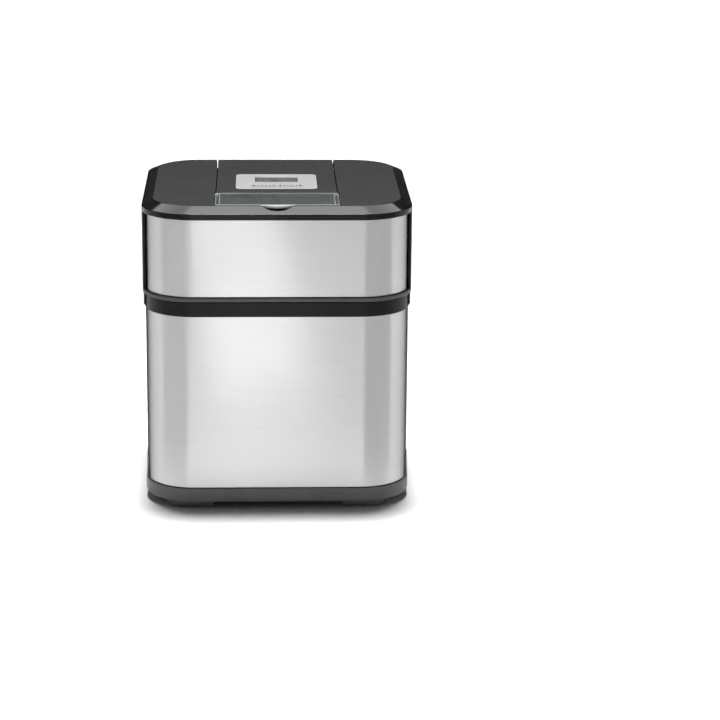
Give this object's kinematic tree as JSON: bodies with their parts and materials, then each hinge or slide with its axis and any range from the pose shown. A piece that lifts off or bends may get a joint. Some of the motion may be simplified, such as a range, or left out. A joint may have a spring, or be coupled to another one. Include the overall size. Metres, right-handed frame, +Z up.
{
  "type": "ice cream maker",
  "caption": "Square steel-clad ice cream maker: freezer bowl and paddle in a housing, under a lid with gear motor, control strip and clear refill flap.",
  "frame": {"origin": "on the floor under the middle of the machine", "axes": "+Z up, front with the flap's tab towards -Y, +X to the right seen from the front"},
  "size_m": [0.2198, 0.218, 0.2524],
  "materials": {
    "brushed_steel": "vertical walls brushed along the horizontal",
    "black_plastic": "fine satin",
    "top_plastic": "matt fine spark texture, polished chamfer",
    "grey_plastic": "satin",
    "rubber": "matt",
    "zinc": "zinc plated",
    "aluminium": "drawn and satin",
    "silver_foil": "fine metallic lacquer",
    "display": "clear window over a grey-green display",
    "clear_plastic": "clear, slightly smoked",
    "board": "solder-resist green",
    "white_plastic": "satin",
    "gear_plastic": "natural acetal",
    "coolant": "freezing gel"
  },
  "bodies": {
    "housing": {"base_tray": "grey_plastic", "rubber_foot_1": "rubber", "rubber_foot_2": "rubber", "rubber_foot_3": "rubber", "rubber_foot_4": "rubber", "base_screw_1": "zinc", "base_screw_2": "zinc", "base_screw_3": "zinc", "base_screw_4": "zinc", "lower_steel_sleeve": "brushed_steel", "collar": "black_plastic", "inner_liner": "top_plastic"},
    "freezer_bowl": {"bowl_outer_shell": "top_plastic", "bowl_inner_cup": "aluminium", "coolant_gel": "coolant", "bowl_rim_ring": "top_plastic"},
    "paddle": {"paddle": "white_plastic"},
    "lid": {"lid_pan": "grey_plastic", "lid_steel_band": "brushed_steel", "left_side_cheek": "black_plastic", "right_side_cheek": "black_plastic", "top_bezel": "top_plastic", "centre_strip": "top_plastic", "control_plate": "silver_foil", "display_window": "display", "display_module": "display", "control_board": "board", "refill_chute": "clear_plastic", "lid_seal": "rubber", "cable_gland": "black_plastic", "lid_screw_1": "zinc", "lid_screw_2": "zinc", "lid_screw_3": "zinc", "lid_screw_4": "zinc", "gearbox_case": "black_plastic", "gearbox_cover": "black_plastic", "shaft_bush": "gear_plastic", "idler_pin": "zinc", "motor_can": "zinc", "motor_end_cap": "black_plastic"},
    "output_drive": {"drive_shaft": "zinc", "drive_coupling": "gear_plastic", "output_gear": "gear_plastic"},
    "idler": {"idler_gear": "gear_plastic"},
    "rotor": {"motor_rotor": "zinc"},
    "refill_flap": {"refill_flap": "clear_plastic"},
    "key_1": {"key_1": "silver_foil"},
    "key_2": {"key_2": "silver_foil"},
    "key_3": {"key_3": "silver_foil"},
    "key_4": {"key_4": "silver_foil"}
  },
  "joints": [
    {"name": "bowl_lift", "type": "slide", "parent": "housing", "child": "freezer_bowl", "axis": [0, 0, 1], "range_m": [0, 0.165]},
    {"name": "lid_lift", "type": "slide", "parent": "freezer_bowl", "child": "lid", "axis": [0, 0, 1], "range_m": [0, 0.12]},
    {"name": "paddle_spin", "type": "hinge", "parent": "freezer_bowl", "child": "paddle", "pos_m": [0, 0, 0.1], "axis": [0, 0, 1], "continuous": true},
    {"name": "output_spin", "type": "hinge", "parent": "lid", "child": "output_drive", "pos_m": [0, 0, 0.19], "axis": [0, 0, 1], "continuous": true},
    {"name": "idler_spin", "type": "hinge", "parent": "lid", "child": "idler", "pos_m": [0, 0.0375, 0.195], "axis": [0, 0, 1], "continuous": true},
    {"name": "rotor_spin", "type": "hinge", "parent": "lid", "child": "rotor", "pos_m": [0.02598, 0.0525, 0.22], "axis": [0, 0, 1], "continuous": true},
    {"name": "flap_hinge", "type": "hinge", "parent": "lid", "child": "refill_flap", "pos_m": [0, -0.0489, 0.2509], "axis": [-1, 0, 0], "range_deg": [0, 100]},
    {"name": "key_1_press", "type": "slide", "parent": "lid", "child": "key_1", "axis": [0, 0, -1], "range_m": [0, 0.0006], "stiffness_N_per_m": 300},
    {"name": "key_2_press", "type": "slide", "parent": "lid", "child": "key_2", "axis": [0, 0, -1], "range_m": [0, 0.0006], "stiffness_N_per_m": 300},
    {"name": "key_3_press", "type": "slide", "parent": "lid", "child": "key_3", "axis": [0, 0, -1], "range_m": [0, 0.0006], "stiffness_N_per_m": 300},
    {"name": "key_4_press", "type": "slide", "parent": "lid", "child": "key_4", "axis": [0, 0, -1], "range_m": [0, 0.0006], "stiffness_N_per_m": 300}
  ],
  "couplings": [
    {"joint": "output_spin", "follows": "paddle_spin", "ratio": 1},
    {"joint": "idler_spin", "follows": "paddle_spin", "ratio": -4},
    {"joint": "rotor_spin", "follows": "paddle_spin", "ratio": 16}
  ]
}
